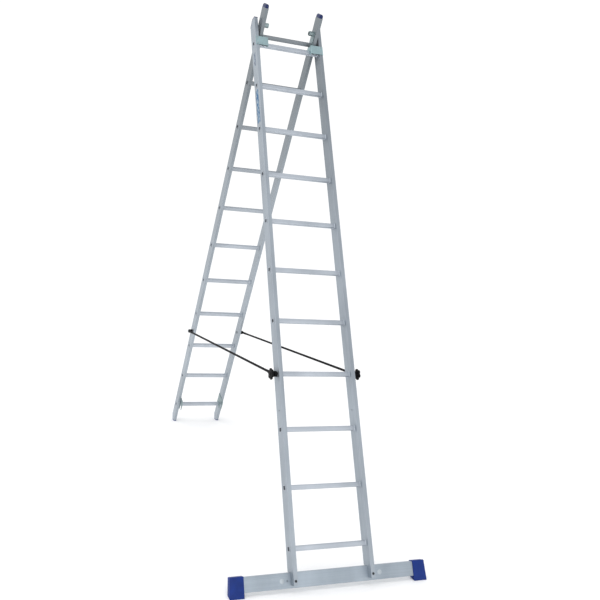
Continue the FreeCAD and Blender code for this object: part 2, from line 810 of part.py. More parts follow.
STUD_POINT = BASE_FRAME.multVec(FreeCAD.Vector(0, 0, STUD_HEIGHT))
PIVOT_POINT = FLY_FRAME.multVec(FreeCAD.Vector(0, 0, dim.rod_fly_height))
ROD_LENGTH = (STUD_POINT - PIVOT_POINT).Length


def make_rods():
    """A round rod with flattened ends: an eye on the fly's pivot, a hook on the base's stud."""
    along = STUD_POINT - PIVOT_POINT
    turn = FreeCAD.Rotation(X_AXIS, math.degrees(math.atan2(-along.y, along.z)))
    spread = dim.rod_front_reach - dim.rod_rear_reach
    for side, sign in SIDES.items():
        tag = side.capitalize()
        half = dim.rod_end_thick / 2
        shapes = []
        for end, x, z, inwards in (("Rear", 0.0, 0.0, 1), ("Front", sign * spread, ROD_LENGTH, -1)):
            eye_start = FreeCAD.Vector(x - half, 0, z)
            shapes.append(cylinder("RodEye" + end + tag, "rod_end_radius", "rod_end_thick",
                                   eye_start, X_AXIS))
            low = z if inwards > 0 else z - dim.rod_flat_length
            flat_corner = FreeCAD.Vector(x - half, -dim.rod_flat_height / 2, low)
            shapes.append(box("RodFlat" + end + tag, "rod_end_thick", "rod_flat_height",
                              "rod_flat_length", flat_corner))
        trim = dim.rod_flat_length - dim.rod_overlap
        start = FreeCAD.Vector(0, 0, trim)
        finish = FreeCAD.Vector(sign * spread, 0, ROD_LENGTH - trim)
        shaft = cylinder("RodShaft" + tag, "rod_radius", "rod_radius", start, finish - start)
        shaft.setExpression("Height", None)
        shaft.Height = (finish - start).Length
        shapes.append(shaft)
        blank = joined("RodBlank" + tag, shapes)

        hole = cylinder("RodPivotHole" + tag, "bolt_radius + running_slack",
                        "rod_end_thick + 2 * overrun",
                        FreeCAD.Vector(-half - dim.overrun, 0, 0), X_AXIS)
        seat_start = FreeCAD.Vector(sign * spread - half - dim.overrun, 0, ROD_LENGTH)
        seat = cylinder("RodSeat" + tag, "stud_radius + rod_slot_slack",
                        "rod_end_thick + 2 * overrun", seat_start, X_AXIS)
        mouth = box("RodMouth" + tag, "rod_end_thick + 2 * overrun",
                    "2 * (stud_radius + rod_slot_slack)", "2 * rod_end_radius",
                    FreeCAD.Vector(0, 0, 0))
        mouth_turn = FreeCAD.Rotation(X_AXIS, 180 - dim.rod_slot_angle)
        half_mouth = dim.stud_radius + dim.rod_slot_slack
        mouth.Placement = FreeCAD.Placement(
            seat_start + mouth_turn.multVec(FreeCAD.Vector(0, -half_mouth, 0)), mouth_turn)
        rod = doc.addObject("Part::Cut", "Rod" + tag)
        rod.Base = blank
        rod.Tool = joined("RodOpenings" + tag, [hole, seat, mouth])
        rod.Label = "spreader_rod_" + side
        rod.Placement = FreeCAD.Placement(
            PIVOT_POINT + X_AXIS * (sign * dim.rod_rear_reach), turn)
        PARTS.append(rod)


def make_rod_pivots():
    """A block, bolt and nut on each fly stile for the rod's eye to turn on."""
    fasteners = []
    web = dim.fly_width / 2
    for side, sign in SIDES.items():
        tag = side.capitalize()
        outwards = X_AXIS * sign
        seat = FreeCAD.Vector(sign * web, 0, dim.rod_fly_height)
        block = ring("PivotBlock" + tag, "pivot_block_radius", "bolt_radius",
                     "rod_rear_reach - rod_end_thick / 2 - side_gap - fly_width / 2",
                     seat, outwards)
        keep(grouped("RodPivotBlock" + tag, [block]), "rod_pivot_block_" + side, FLY_FRAME)
        under_head = FreeCAD.Vector(
            sign * (dim.rod_rear_reach + dim.rod_end_thick / 2 + dim.side_gap), 0,
            dim.rod_fly_height)
        head = cylinder("PivotHead" + tag, "bolt_head_radius", "bolt_head_height",
                        under_head, outwards)
        shank = cylinder("PivotShank" + tag, "bolt_radius",
                         "rod_rear_reach + rod_end_thick / 2 + side_gap - fly_width / 2"
                         " + fly_stile_width + nut_height", under_head, -outwards)
        fasteners.append(joined("PivotBolt" + tag, [head, shank]))
        fasteners.append(hex_nut("PivotNut" + tag,
                                 FreeCAD.Vector(sign * FLY_INNER_X, 0, dim.rod_fly_height),
                                 -outwards))
    keep(grouped("RodPivotFasteners", fasteners), "rod_pivot_bolts", FLY_FRAME)


# ---------------------------------------------------------------- studs, spacers and knobs

WEB = dim.base_width / 2
KNOB_START = dim.rod_front_reach + dim.rod_end_thick / 2 + dim.side_gap


def make_studs():
    """A threaded stud on a square anchor inside the rung's end, and a black spacer."""
    for side, sign in SIDES.items():
        tag = side.capitalize()
        outwards = X_AXIS * sign
        anchor_start = sign * WEB if sign < 0 else WEB - dim.stud_anchor
        half = dim.stud_anchor_side / 2
        anchor = box("StudAnchor" + tag, "stud_anchor", "stud_anchor_side", "stud_anchor_side",
                     FreeCAD.Vector(anchor_start, -half, STUD_HEIGHT - half))
        rod = cylinder("StudRod" + tag, "stud_radius",
                       "rod_front_reach + rod_end_thick / 2 + knob_bore_depth"
                       " - base_width / 2 + stud_anchor / 2",
                       FreeCAD.Vector(sign * (WEB - dim.stud_anchor / 2), 0, STUD_HEIGHT), outwards)
        keep(joined("KnobStud" + tag, [anchor, rod]), "knob_stud_" + side, BASE_FRAME)
        spacer = ring("Spacer" + tag, "spacer_radius", "stud_radius",
                      "rod_front_reach - rod_end_thick / 2 - side_gap - base_width / 2",
                      FreeCAD.Vector(sign * WEB, 0, STUD_HEIGHT), outwards)
        keep(grouped("KnobSpacer" + tag, [spacer]), "knob_spacer_" + side, BASE_FRAME)


def make_knobs():
    """A moulded star knob with scalloped edge, screwed on the stud."""
    for side, sign in SIDES.items():
        name = "knob_" + side
        body = doc.addObject("PartDesign::Body", name)
        pad(body, circles(body, "YZ_Plane", name + "Disc", [("0", "0", "knob_radius")]),
            "knob_length", both_ways=False, backwards=sign < 0)
        scallop = cut_through(body, circles(body, "YZ_Plane", name + "Scallop", [
            ("0", "knob_scallop_ring", "knob_scallop_radius")]))
        pattern = body.newObject("PartDesign::PolarPattern", name + "Star")
        pattern.Originals = [scallop]
        pattern.Axis = (origin_feature(body, "X_Axis"), [""])
        pattern.Angle = 360
        pattern.setExpression("Occurrences", bound("knob_scallops"))
        body.Tip = pattern
        doc.recompute()
        before = body.Shape.Volume
        bore = body.newObject("PartDesign::Pocket", name + "Bore")
        bore.Profile = circles(body, "YZ_Plane", name + "BoreCircle", [
            ("0", "0", "stud_radius + running_slack")])
        bore.SideType = "One side"
        bore.setExpression("Length", bound("knob_bore_depth"))
        bore.Reversed = sign > 0
        doc.recompute()
        if body.Shape.Volume >= before:
            raise ValueError("the knob's bore was not cut")
        keep(body, name, BASE_FRAME, x=sign * KNOB_START, z=STUD_HEIGHT)


# ---------------------------------------------------------------- labels and crimp pins

def make_labels():
    """Two plain stickers on the left base stile's outer web."""
    labels = []
    for name, size in (("Label", "label"), ("SmallLabel", "small_label")):
        length = SIZES[size + "_length"]
        height = SIZES[size + "_height"]
        middle = SIZES[size + "_middle"]
        corner = FreeCAD.Vector(-WEB - dim.label_thick, -height / 2, middle - length / 2)
        labels.append(box(name, "label_thick", size + "_height", size + "_length", corner))
    keep(grouped("Labels", labels), "rating_labels", BASE_FRAME)


def make_crimp_pins():
    """The pin that locks each fly rung, seen as a dot on the stile's front flange."""
    pins = []
    for side, sign in SIDES.items():
        for k in range(dim.rung_count):
            start = FreeCAD.Vector(
                sign * FLY_STILE_X, -dim.stile_depth / 2, k * dim.rung_pitch - dim.crimp_drop)
            name = "Crimp%s%02d" % (side.capitalize(), k + 1)
            pins.append(cylinder(name, "crimp_radius", "crimp_proud", start, -Y_AXIS))
    keep(grouped("CrimpPins", pins), "crimp_pins", FLY_FRAME)


# ---------------------------------------------------------------- build, check and write

def centre_front_to_back():
    """Move every sub-part so that the ladder's footprint is centred on the origin."""
    low = min(part.Shape.BoundBox.YMin for part in PARTS)
    high = max(part.Shape.BoundBox.YMax for part in PARTS)
    shift = FreeCAD.Vector(0, -(low + high) / 2, 0)
    for part in PARTS:
        part.Placement.Base = part.Placement.Base + shift
    doc.recompute()
    return shift


def check_document():
    for item in doc.Objects:
        if "Invalid" in item.State or "Error" in item.State:
            raise ValueError("%s failed: %s" % (item.Name, item.State))
    for part in PARTS:
        if part.Shape.isNull() or not part.Shape.isValid():
            raise ValueError("bad shape in " + part.Label)


def write_parts():
    os.makedirs(OUTPUT, exist_ok=True)
    for old in os.listdir(OUTPUT):
        os.remove(os.path.join(OUTPUT, old))
    for part in PARTS:
        part.Shape.exportStep(os.path.join(OUTPUT, part.Label + ".step"))


make_rungs()
make_base_stiles()
make_fly_stiles()
make_base_plugs()
make_fly_plugs()
make_fly_caps()
make_stabiliser_bar()
make_stabiliser_feet()
make_stabiliser_fixings()
make_guide_brackets()
make_bracket_rivets()
make_hinge_plates()
make_claws()
make_fly_rivets()
make_rods()
make_rod_pivots()
make_studs()
make_knobs()
make_labels()
make_crimp_pins()
doc.recompute()
SHIFT = centre_front_to_back()
check_document()
write_parts()
print("%d sub-parts, shifted by %.3f mm" % (len(PARTS), SHIFT.y))
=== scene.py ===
import math

import bmesh
import bpy
from mathutils import Matrix, Vector


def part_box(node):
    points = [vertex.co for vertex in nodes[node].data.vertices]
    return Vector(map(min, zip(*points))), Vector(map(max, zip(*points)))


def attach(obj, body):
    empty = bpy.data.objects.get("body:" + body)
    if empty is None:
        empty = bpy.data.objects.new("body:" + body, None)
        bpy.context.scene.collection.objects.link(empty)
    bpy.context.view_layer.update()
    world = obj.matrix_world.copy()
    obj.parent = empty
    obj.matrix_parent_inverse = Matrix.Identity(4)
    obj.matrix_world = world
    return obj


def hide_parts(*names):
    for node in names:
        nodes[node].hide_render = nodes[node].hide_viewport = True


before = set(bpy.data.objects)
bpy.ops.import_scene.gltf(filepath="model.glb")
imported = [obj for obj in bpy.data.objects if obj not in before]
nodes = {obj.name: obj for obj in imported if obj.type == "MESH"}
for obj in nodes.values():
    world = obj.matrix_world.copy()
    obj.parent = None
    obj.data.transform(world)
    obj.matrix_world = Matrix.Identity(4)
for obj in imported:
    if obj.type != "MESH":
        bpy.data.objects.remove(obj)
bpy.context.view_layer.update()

# ---------------------------------------------------------------- base section: stiles
# Two hollow aluminium extrusions, 66 mm deep, mill finished: pressed through a die that leaves
# fine lines along them, then sawn, punched for the rungs and handled on the way. The right
# stile also gets painted shade that deepens towards its top.


class Wire:
    """A shader socket that takes part in Python arithmetic."""

    def __init__(self, look, socket):
        self.look = look
        self.socket = socket

    def __add__(self, other):
        return self.look.maths("ADD", self, other)

    def __sub__(self, other):
        return self.look.maths("SUBTRACT", self, other)

    def __rsub__(self, other):
        return self.look.maths("SUBTRACT", other, self)

    def __mul__(self, other):
        return self.look.maths("MULTIPLY", self, other)

    __radd__ = __add__
    __rmul__ = __mul__


class Wiring:
    """A node tree that is written as expressions."""

    # A Mix node's colour sockets share their names with its other ones, so they go by number.
    FACTOR = 0
    FIRST_COLOUR = 6
    SECOND_COLOUR = 7
    MIXED_COLOUR = 2

    def __init__(self, tree):
        self.tree = tree

    def feed(self, node, values):
        for key, value in values.items():
            if isinstance(value, Wire):
                self.tree.links.new(value.socket, node.inputs[key])
            else:
                node.inputs[key].default_value = value

    def node(self, kind, settings, values, output=0):
        """Any other node: its settings first, then the values or links of its sockets."""
        made = self.tree.nodes.new("ShaderNode" + kind)
        for key, value in settings.items():
            setattr(made, key, value)
        self.feed(made, values)
        return Wire(self, made.outputs[output])

    def maths(self, operation, first, second):
        return self.node("Math", {"operation": operation}, {0: first, 1: second})

    def blend(self, factor, first, second):
        """From the first colour to the second as the factor goes from 0 to 1."""
        colours = {self.FACTOR: factor, self.FIRST_COLOUR: first, self.SECOND_COLOUR: second}
        return self.node("Mix", {"data_type": "RGBA"}, colours, self.MIXED_COLOUR)

    def place(self):
        """Where a point lies, in object coordinates."""
        return self.node("TexCoord", {}, {}, "Object")

    def height_of(self, where):
        return self.node("SeparateXYZ", {}, {"Vector": where}, "Z")

    def stretch(self, lean, scale):
        """Object coordinates turned about x to follow a section, then scaled on each axis."""
        turned = self.node("VectorRotate", {"rotation_type": "X_AXIS"},
                           {"Vector": self.place(), "Angle": lean})
        return self.node("VectorMath", {"operation": "MULTIPLY"}, {0: turned, 1: scale})

    def noise(self, where, scale, detail=2.0, roughness=0.5):
        return self.node("TexNoise", {}, {
            "Vector": where, "Scale": scale, "Detail": detail, "Roughness": roughness})

    def bands(self, value, low, high):
        """A value clamped and spread from 0 at low to 1 at high."""
        return self.node("MapRange", {}, {
            "Value": value, "From Min": low, "From Max": high})


class Look(Wiring):
    """A material: one Principled surface and the nodes that feed it."""

    def __init__(self, name, constants):
        self.material = bpy.data.materials.new(name)
        self.material.use_nodes = True
        Wiring.__init__(self, self.material.node_tree)
        self.surface = self.tree.nodes["Principled BSDF"]
        self.feed(self.surface, constants)

    def bump(self, height, strength, depth):
        normal = self.node("Bump", {}, {"Height": height, "Strength": strength, "Distance": depth})
        self.feed(self.surface, {"Normal": normal})

    def wear(self, objects):
        """Give this material to objects as their only one."""
        for item in objects:
            mesh = item.data
            mesh.materials.clear()
            mesh.materials.append(self.material)
            mesh.polygons.foreach_set("material_index", [0] * len(mesh.polygons))


def middle(node):
    low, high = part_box(node)
    return (low + high) / 2


def section_frame(lowest, highest):
    """The matrix from a section's own axes (across, back, up the stiles) to the object's."""
    origin = middle(lowest)
    up = (middle(highest) - origin).normalized()
    across = Vector((1, 0, 0))
    back = up.cross(across)
    turn = Matrix((across, back, up)).transposed()
    return Matrix.Translation(origin) @ turn.to_4x4()


def lean_of(place):
    """A section's turn about the x axis from upright, in radians."""
    return math.atan2(-place[1][2], place[2][2])


BASE = section_frame("base_rung_01", "base_rung_11")
FLY = section_frame("fly_rung_01", "fly_rung_11")
PALE_ALUMINIUM = (0.40, 0.445, 0.49, 1)
DULL_ALUMINIUM = (0.29, 0.325, 0.365, 1)
SCUFFED_ALUMINIUM = (0.50, 0.53, 0.56, 1)
# The colour of the painted shade at the top of a shaded extrusion, and the heights where it starts
# and is full.
PAINTED_SHADE_ALUMINIUM = (0.10, 0.115, 0.12, 1)
DARKER_FROM = 1.5
DARKER_TO = 2.6
DIE_LINES_PER_METRE = 210.0
DIE_LINES_ALONG = 1.3
PATCHES_PER_METRE = (6.0, 6.0, 2.6)
GRAIN_PER_METRE = 1400.0
SCUFFS_PER_METRE = 55.0
SCUFFS_ALONG = 9.0


def drawn_out(per_metre, along, axis):
    """A noise scale that is fine on two axes and coarse along the third."""
    scale = [per_metre] * 3
    scale[axis] = along
    return scale


def aluminium(name, lean, axis, light=PALE_ALUMINIUM, dull=DULL_ALUMINIUM, painted_top_shade=0.0):
    """Mill-finish extrusion: die lines along one axis, cloudy patches and a few scuffs.

    With a top shade, painted shade darkens the colour from DARKER_FROM up to DARKER_TO, in metres
    above the floor as the ladder stands open."""
    look = Look(name, {"Metallic": 0.82, "Specular IOR Level": 0.5})
    line_scale = drawn_out(DIE_LINES_PER_METRE, DIE_LINES_ALONG, axis)
    lines = look.noise(look.stretch(lean, line_scale), 1.0, 3.0, 0.6)
    patches = look.noise(look.stretch(lean, PATCHES_PER_METRE), 1.0, 4.0, 0.55)
    grain = look.noise(look.stretch(lean, [GRAIN_PER_METRE] * 3), 1.0, 1.0)
    scuff_scale = drawn_out(SCUFFS_PER_METRE, SCUFFS_ALONG, axis)
    scuffs = look.bands(look.noise(look.stretch(lean, scuff_scale), 1.0, 5.0, 0.7), 0.62, 0.72)
    tone = look.bands(patches * 0.65 + lines * 0.35, 0.34, 0.66)
    colour = look.blend(tone, dull, light)
    colour = look.blend(scuffs * 0.25, colour, SCUFFED_ALUMINIUM)
    # Painted shade: the colour darkens towards the top of the extrusion.
    if painted_top_shade:
        rise = look.bands(look.height_of(look.place()), DARKER_FROM, DARKER_TO)
        colour = look.blend(rise * painted_top_shade, colour, PAINTED_SHADE_ALUMINIUM)
    look.feed(look.surface, {
        "Base Color": colour,
        "Roughness": 0.34 + patches * 0.16 + lines * 0.08 - scuffs * 0.06})
    look.bump(lines * 0.8 + grain * 0.2, 0.22, 0.0004)
    return look


base_lean = lean_of(BASE)
fly_lean = lean_of(FLY)
UP = 2
ACROSS = 0
base_extrusion = aluminium("base_stile_aluminium", -base_lean, UP)
base_extrusion.wear([nodes["base_stile_left"]])
# The right stile's copy of the finish carries painted shade towards its top.
right_shaded_extrusion = aluminium("right_stile_shaded_aluminium", -base_lean, UP, painted_top_shade=0.38)
right_shaded_extrusion.wear([nodes["base_stile_right"]])

# ---------------------------------------------------------------- base section: rungs
# Square aluminium tubes, 24 mm across, ribbed on the faces that are trodden on. Each end is
# pushed through the stile and flared, so that a swollen collar grips it on both sides.

RUNG_COUNT = 11
RUNG_HALF = 0.012
RUNG_BORE = 0.0102
RUNG_CORNER = 0.004
RUNG_CORNER_STEPS = 4
RIB_DEPTH = 0.0007
RIB_COUNT = 6
POINTS_PER_RIB = 4
COLLAR_PROUD = 1.19
COLLAR_LENGTH = 0.0042
# Inwards from the stile's inner face, and the scale of the outline there.
COLLAR = ((COLLAR_LENGTH, 1.0), (COLLAR_LENGTH * 0.6, 1.12),
          (COLLAR_LENGTH * 0.25, COLLAR_PROUD), (0.0001, COLLAR_PROUD), (0.0, 1.0))
# Outwards from the stile's outer face, and the scale of the outline there.
FLARED_END = ((-0.0001, 1.0), (0.0, 1.16), (0.0008, 1.2), (0.0014, 1.1), (0.0014, 0.95))


def shaped(name, mesh, place, body, look, replaced=(), crease=35.0):
    """Finish a bmesh as a piece: place it, smooth it but for sharp edges, and say what it is."""
    mesh.transform(place)
    bmesh.ops.recalc_face_normals(mesh, faces=mesh.faces)
    for face in mesh.faces:
        face.smooth = True
    for edge in mesh.edges:
        if edge.is_manifold and edge.calc_face_angle(0) > math.radians(crease):
            edge.smooth = False
    data = bpy.data.meshes.new(name)
    mesh.to_mesh(data)
    mesh.free()
    piece = bpy.data.objects.new(name, data)
    bpy.context.scene.collection.objects.link(piece)
    look.wear([piece])
    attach(piece, body)
    if replaced:
        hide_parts(*replaced)
    return piece


def rounded_square(half, corner, steps):
    """Points around a square with round corners, anticlockwise from its lower right corner."""
    points = []
    for quarter in range(4):
        centre = math.radians(90 * quarter - 45)
        reach = (half - corner) * math.sqrt(2)
        mid = Vector((math.cos(centre), math.sin(centre))) * reach
        for step in range(steps + 1):
            angle = math.radians(90 * quarter - 90 + 90 * step / steps)
            points.append(mid + Vector((math.cos(angle), math.sin(angle))) * corner)
    return points


def ribbed_square():
    """The rung's outline: round corners, with shallow grooves in the top and the bottom."""
    corners = rounded_square(RUNG_HALF, RUNG_CORNER, RUNG_CORNER_STEPS)
    per_corner = RUNG_CORNER_STEPS + 1
    flat = RUNG_HALF - RUNG_CORNER
    outline = []
    for quarter in range(4):
        outline += corners[quarter * per_corner:(quarter + 1) * per_corner]
        on_top = quarter == 1
        underneath = quarter == 3
        if on_top or underneath:
            side = 1 if on_top else -1
            steps = RIB_COUNT * POINTS_PER_RIB
            for step in range(1, steps):
                across = side * (flat - 2 * flat * step / steps)
                depth = RIB_DEPTH * (0.5 - 0.5 * math.cos(2 * math.pi * step / POINTS_PER_RIB))
                outline.append(Vector((across, side * (RUNG_HALF - depth))))
        else:
            outline.append(Vector((RUNG_HALF if quarter == 0 else -RUNG_HALF, 0)))
    return outline


def loft(mesh, rings, closed_ends=False):
    """Skin between rings of points that all have the same count."""
    loops = [[mesh.verts.new(point) for point in ring] for ring in rings]
    count = len(loops[0])
    for first, second in zip(loops, loops[1:]):
        for i in range(count):
            j = (i + 1) % count
            mesh.faces.new((first[i], first[j], second[j], second[i]))
    if closed_ends:
        mesh.faces.new(loops[0][::-1])
        mesh.faces.new(loops[-1])
    return loops


def rung_mesh(half_length, stile_width):
    """A tube whose ends grip both sides of each stile."""
    stations = [(half_length - (stile_width + inwards), scale) for inwards, scale in COLLAR]
    stations += [(half_length + outwards, scale) for outwards, scale in FLARED_END]
    stations = [(-x, scale) for x, scale in stations[::-1]] + stations
    outline = ribbed_square()
    mesh = bmesh.new()
    rings = [[Vector((x, p.x * scale, p.y * scale)) for p in outline] for x, scale in stations]
    bore_scale = RUNG_BORE / RUNG_HALF
    inner = [[Vector((x, p.x * bore_scale, p.y * bore_scale)) for p in outline]
             for x in (stations[-1][0], 0.0, stations[0][0])]
    rings += inner
    loops = loft(mesh, rings)
    count = len(outline)
    for i in range(count):
        j = (i + 1) % count
        mesh.faces.new((loops[-1][i], loops[-1][j], loops[0][j], loops[0][i]))
    return mesh


def make_rungs(section, place, body, stile_width, look):
    for number in range(1, RUNG_COUNT + 1):
        node = "%s_rung_%02d" % (section, number)
        low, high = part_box(node)
        lift = Matrix.Translation(place.inverted() @ middle(node))
        mesh = rung_mesh((high.x - low.x) / 2, stile_width)
        shaped(node + "_ribbed", mesh, place @ lift, body, look, [node])


BASE_STILE_WIDTH = 0.022
rung_finish = aluminium("base_rung_aluminium", -base_lean, ACROSS,
                        light=(0.50, 0.54, 0.59, 1), dull=(0.39, 0.425, 0.47, 1))
make_rungs("base", BASE, "base_section", BASE_STILE_WIDTH, rung_finish)

# ---------------------------------------------------------------- base section: top plugs
# Purple-blue plastic plugs in the sawn tops of the stiles, which are level in front and cut
# at 45 degrees behind. Injection moulded, with the fine grain of the mould, and pushed in.

PURPLE = (0.010, 0.005, 0.085, 1)
FLOW_MARKS_PER_METRE = 22.0
DUST_PER_METRE = 60.0


def moulded(name, colour, roughness, metres_per_grain=0.0007, coat=0.0, shine=0.2):
    """Moulded plastic: fine grain, faint flow marks and a little dust."""
    look = Look(name, {"Coat Weight": coat, "Coat Roughness": 0.2, "Specular IOR Level": shine})
    place = look.place()
    grain = look.noise(place, 1 / metres_per_grain, 2.0)
    flow = look.noise(place, FLOW_MARKS_PER_METRE, 3.0, 0.6)
    dust = look.bands(look.noise(place, DUST_PER_METRE, 6.0, 0.7), 0.55, 0.75)
    darker = tuple(channel * 0.72 for channel in colour[:3]) + (1,)
    paler = tuple(channel * 0.9 + 0.03 for channel in colour[:3]) + (1,)
    shade = look.blend(look.bands(flow, 0.3, 0.7), darker, colour)
    look.feed(look.surface, {
        "Base Color": look.blend(dust * 0.18, shade, paler),
        "Roughness": roughness + flow * 0.12 + dust * 0.1})
    look.bump(grain, 0.25, 0.0002)
    return look


plug_plastic = moulded("plug_plastic", PURPLE, roughness=0.38)
plug_plastic.wear([nodes["base_top_plug_left"], nodes["base_top_plug_right"]])

# ---------------------------------------------------------------- stabiliser bar
# A wide aluminium box extrusion across the foot of the section, lying in notches cut in the
# stiles and bolted there. The same mill finish, with its die lines running along the bar.

bar_finish = aluminium("bar_aluminium", -base_lean, ACROSS,
                       light=(0.39, 0.445, 0.50, 1), dull=(0.29, 0.335, 0.38, 1))
bar_finish.wear([nodes["stabiliser_bar"]])

# ---------------------------------------------------------------- stabiliser shoes
# Royal blue moulded plastic shoes pushed over the bar's ends, a little deeper at the floor
# than at the top. They are held by their grip on the bar.

BLUE = (0.006, 0.030, 0.20, 1)
SHOE_FRONT = -0.002
SHOE_BACK = 0.031
SHOE_FLARE = 0.003
SHOE_TOP = -0.102
SHOE_SOLE_FRONT = -0.1989
SHOE_SOLE_BACK = -0.1819
SHOE_END_TAPER = 0.005
SHOE_ROUNDING = 0.0035
SHOE_SOCKET_DEPTH = 0.012
SHOE_LIP = 0.0012
# Short of the shoe's end, and how far the outline is drawn in there.
SHOE_END = ((0.003, 0.0), (0.0012, 0.0006), (0.0003, 0.0018), (0.0, 0.0032))
BAR_SECTION = ((0.002, -0.174), (0.027, -0.174), (0.027, -0.106), (0.002, -0.106))
BAR_ROUNDING = 0.0015


def rounded(corners, radius, steps=4):
    """The corners of a polygon, each replaced by a short curve."""
    points = []
    for i, corner in enumerate(corners):
        here = Vector(corner)
        before = (Vector(corners[i - 1]) - here).normalized() * radius
        after = (Vector(corners[(i + 1) % len(corners)]) - here).normalized() * radius
        for step in range(steps + 1):
            t = step / steps
            points.append(here + before * (1 - t) ** 2 + after * t ** 2)
    return points


def shrunk(points, inset):
    """The same outline drawn in towards its middle by about the same amount all round."""
    centre = sum(points, Vector((0, 0))) / len(points)
    half = Vector((max(abs(p.x - centre.x) for p in points),
                   max(abs(p.y - centre.y) for p in points)))
    factor = Vector((1 - inset / half.x, 1 - inset / half.y))
    return [centre + Vector(((p.x - centre.x) * factor.x, (p.y - centre.y) * factor.y))
            for p in points]


def shoe_mesh(mouth, end):
    """Rings across the bar from inside the mouth, over its lip and out to the rounded end."""
    outer = rounded(((SHOE_FRONT, SHOE_SOLE_FRONT), (SHOE_BACK + SHOE_FLARE, SHOE_SOLE_BACK),
                     (SHOE_BACK, SHOE_TOP), (SHOE_FRONT, SHOE_TOP)), SHOE_ROUNDING)
    socket = rounded(BAR_SECTION, BAR_ROUNDING)
    way = 1 if end > mouth else -1
    rings = []
    for inwards, outline in ((SHOE_SOCKET_DEPTH, socket), (0.0, socket),
                             (0.0, shrunk(outer, SHOE_LIP)), (SHOE_LIP, outer),
                             (0.02, outer), (0.045, outer)):
        rings.append([Vector((mouth + way * inwards, p.x, p.y)) for p in outline])
    for short, inset in SHOE_END:
        ring = []
        for p in shrunk(outer, inset):
            rise = (p.y - SHOE_SOLE_FRONT) / (SHOE_TOP - SHOE_SOLE_FRONT)
            ring.append(Vector((end - way * (short + SHOE_END_TAPER * max(0.0, rise)), p.x, p.y)))
        rings.append(ring)
    mesh = bmesh.new()
    loft(mesh, rings, closed_ends=True)
    return mesh


shoe_plastic = moulded("shoe_plastic", BLUE, roughness=0.42)
for side in ("left", "right"):
    low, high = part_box("stabiliser_foot_" + side)
    mouth, end = (high.x, low.x) if side == "left" else (low.x, high.x)
    shaped("shoe_" + side, shoe_mesh(mouth, end), BASE, "base_section",
           shoe_plastic, ["stabiliser_foot_" + side])

# ---------------------------------------------------------------- bolts through the bar
# Zinc-plated steel. A socket-headed bolt, its head coloured almost black, goes through each
# stile and the bar, and a round-headed screw through the bar beside it; washers and nuts hold
# them behind.

ZINC_GRAIN_PER_METRE = 1800.0


def zinc(name, colour, metres_per_spangle=0.004, roughness=0.33):
    """Zinc-plated steel: a cloudy passivated tone with fine spangles."""
    look = Look(name, {"Metallic": 0.85})
    place = look.place()
    cloud = look.noise(place, 1 / metres_per_spangle / 8, 5.0, 0.6)
    spangle = look.noise(place, 1 / metres_per_spangle, 2.0)
    grain = look.noise(place, ZINC_GRAIN_PER_METRE, 1.0)
    paler = tuple(min(1.0, channel * 1.25) for channel in colour[:3]) + (1,)
    tone = look.bands(cloud * 0.7 + spangle * 0.3, 0.35, 0.65)
    look.feed(look.surface, {
        "Base Color": look.blend(tone, colour, paler),
        "Roughness": roughness + cloud * 0.2})
    look.bump(spangle * 0.6 + grain * 0.4, 0.12, 0.0002)
    return look


BAR_HEIGHT_ON_STILE = -0.140
BAR_BOLT_ACROSS = 0.208
BAR_SCREW_ACROSS = 0.264
STILE_FACE = -0.033
BAR_FACE = 0.002
BAR_BACK = 0.027
BOLT_HEAD_RADIUS = 0.0062
BOLT_HEAD_HEIGHT = 0.003
BOLT_SOCKET_RADIUS = 0.003
SCREW_HEAD_RADIUS = 0.012
SCREW_HEAD_HEIGHT = 0.0016
NUT_ACROSS_FLATS = 0.013
BAR_NUT_HEIGHT = 0.0078
THREAD_RADIUS = 0.004
FORWARD = Vector((0, -1, 0))
BACKWARD = Vector((0, 1, 0))


def lathe(mesh, start, axis, profile, sides=36):
    """Rings about an axis from start: each is a distance along it, a radius and perhaps the
    inner radius of a hexagon that cuts the ring's sides flat."""
    turn = axis.to_track_quat("Z", "Y")
    rings = []
    for along, radius, *hexagonal in profile:
        ring = []
        for i in range(sides):
            angle = 2 * math.pi * i / sides
            reach = radius
            if hexagonal:
                nearest = (angle + math.pi / 6) % (math.pi / 3) - math.pi / 6
                reach = min(radius, hexagonal[0] / math.cos(nearest))
            ring.append(start + turn @ Vector(
                (reach * math.cos(angle), reach * math.sin(angle), along)))
        rings.append(ring)
    loft(mesh, rings, closed_ends=True)


def socket_head(mesh, start, axis, radius, height, socket):
    """A low domed bolt head with a hexagonal socket sunk in it."""
    lathe(mesh, start, axis, [
        (-0.004, radius * 0.55), (0.0, radius * 0.97), (height * 0.35, radius),
        (height * 0.75, radius * 0.86), (height * 0.97, radius * 0.62),
        (height, socket * 1.3), (height * 0.96, socket * 1.18, socket),
        (height * 0.3, socket * 1.1, socket)])


def hexagon_nut(mesh, start, axis, across_flats, height, thread):
    """A washer, a nut with its corners taken off, and the bolt's end standing out of it."""
    flat = across_flats / 2
    corner = flat / math.cos(math.pi / 6)
    lathe(mesh, start, axis, [
        (0.0, 0.0095), (0.0004, 0.01), (0.0012, 0.01), (0.0016, 0.0096), (0.0016, flat * 0.96),
        (0.0018, flat), (0.0028, corner, flat), (height, corner, flat),
        (height + 0.001, flat), (height + 0.001, thread * 1.02),
        (height + 0.003, thread), (height + 0.0036, thread * 0.82)])


def rivet_head(mesh, start, axis, radius, height):
    steps = 6
    dome = [(-0.003, radius * 0.5)]
    for step in range(steps):
        angle = math.pi / 2 * step / steps
        dome.append((height * math.sin(angle), radius * math.cos(angle)))
    dome.append((height, radius * 0.08))
    lathe(mesh, start, axis, dome, sides=24)


